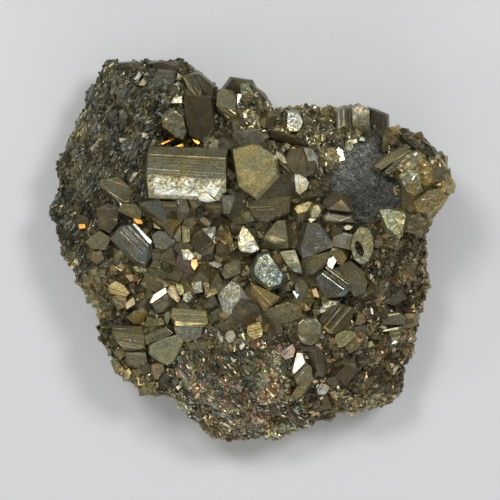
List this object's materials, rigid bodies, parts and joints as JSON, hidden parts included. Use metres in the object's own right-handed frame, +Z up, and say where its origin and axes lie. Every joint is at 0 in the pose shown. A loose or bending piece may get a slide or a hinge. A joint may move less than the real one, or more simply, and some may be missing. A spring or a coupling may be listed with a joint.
{
  "type": "pyrite specimen",
  "caption": "Hand-sized cluster of intergrown brassy pyrite crystals on a drusy pyrite matrix that rests on a flat broken base.",
  "frame": {"origin": "middle of the specimen's footprint, on the flat face that it rests on", "axes": "+Z up, out of the crystal-covered side; +Y towards the high crest beside the large bar crystal; +X towards the rounded knob"},
  "size_m": [0.0796, 0.0768, 0.0301],
  "materials": {
    "pyrite": "polished",
    "drusy_pyrite": "satin",
    "dull_crust": "matte"
  },
  "bodies": {
    "root": {"pyrite_cluster": "pyrite"}
  },
  "joints": []
}
